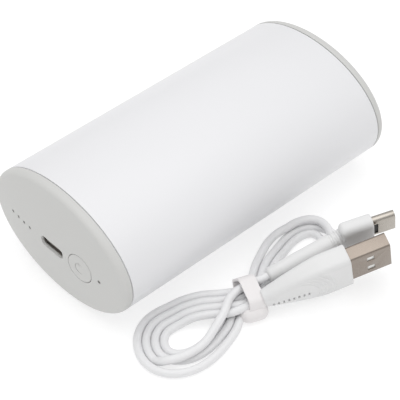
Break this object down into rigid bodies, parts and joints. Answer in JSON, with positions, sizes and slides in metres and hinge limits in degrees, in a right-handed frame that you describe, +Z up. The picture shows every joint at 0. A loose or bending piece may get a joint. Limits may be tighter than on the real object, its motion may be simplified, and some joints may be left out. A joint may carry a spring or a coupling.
{
  "type": "rechargeable hand warmer",
  "caption": "Oval pocket hand warmer with domed end caps, a press button, status lights and a charging port, and its tied charging lead beside it.",
  "frame": {"origin": "middle of the warmer's length and width, at the height of the surface it lies on", "axes": "+Y along the barrel from the button end to the plain end, +X across the width towards the charging lead, +Z up"},
  "size_m": [0.0901, 0.1059, 0.037],
  "materials": {
    "barrel_coat": "satin white powder coat",
    "cap_plastic": "fine moulded satin, warm light grey",
    "seal_rubber": "matt",
    "clear_plastic": "frosted clear",
    "lamp": "gloss",
    "socket_steel": "satin",
    "dark_plastic": "matt",
    "board": "solder mask",
    "board_part": "matt",
    "ceramic": "matt",
    "screw_steel": "plated",
    "heater_film": "amber film",
    "foam": "open-cell foam",
    "cradle_plastic": "natural moulded",
    "cell_can": "shrink wrapped",
    "nickel": "bright strip",
    "wire_cover": "satin",
    "cord_plastic": "satin white",
    "grip_plastic": "satin white",
    "tie_plastic": "soft matt white",
    "plug_nickel": "warm nickel",
    "plug_steel": "grey steel",
    "plug_block": "white moulded",
    "contact_gold": "plated"
  },
  "bodies": {
    "warmer": {"barrel_shell": "barrel_coat", "front_cap": "cap_plastic", "rear_cap": "cap_plastic", "front_seal": "seal_rubber", "rear_seal": "seal_rubber", "switch_body": "dark_plastic", "battery_light_guide": "clear_plastic", "status_light_guide": "clear_plastic", "battery_lights": "lamp", "status_light": "lamp", "usb_socket_shell": "socket_steel", "usb_socket_tongue": "dark_plastic", "main_board": "board", "control_chip": "board_part", "power_inductor": "board_part", "capacitors": "ceramic", "thermistor": "ceramic", "board_screws": "screw_steel", "heater_film_upper": "heater_film", "heater_film_lower": "heater_film", "foam_pad_upper": "foam", "foam_pad_lower": "foam", "cradle_upper": "cradle_plastic", "cradle_lower": "cradle_plastic", "cell_left": "cell_can", "cell_right": "cell_can", "cell_link_front": "nickel", "cell_link_rear": "nickel", "battery_wires": "wire_cover", "heater_wires": "wire_cover", "thermal_fuse": "nickel", "end_pad": "foam"},
    "button": {"power_button": "cap_plastic"},
    "plunger": {"switch_plunger": "dark_plastic"},
    "charging_lead": {"lead_cord": "cord_plastic", "cable_tie": "tie_plastic", "usb_a_grip": "grip_plastic", "usb_a_shell": "plug_nickel", "usb_a_insulator": "plug_block", "usb_a_contacts": "contact_gold", "usb_c_grip": "grip_plastic", "usb_c_shell": "plug_steel", "usb_c_liner": "dark_plastic"}
  },
  "joints": [
    {"name": "button_press", "type": "slide", "parent": "warmer", "child": "button", "axis": [0, 1, 0], "range_m": [0, 0.00035], "stiffness_N_per_m": 1000, "springref_m": -0.0005},
    {"name": "plunger_press", "type": "slide", "parent": "warmer", "child": "plunger", "axis": [0, 1, 0], "range_m": [0, 0.00035]},
    {"name": "lead_lift", "type": "slide", "parent": "warmer", "child": "charging_lead", "axis": [0.6, 0, 0.8], "range_m": [0, 0.1]}
  ],
  "couplings": [
    {"joint": "plunger_press", "follows": "button_press", "ratio": 1}
  ]
}
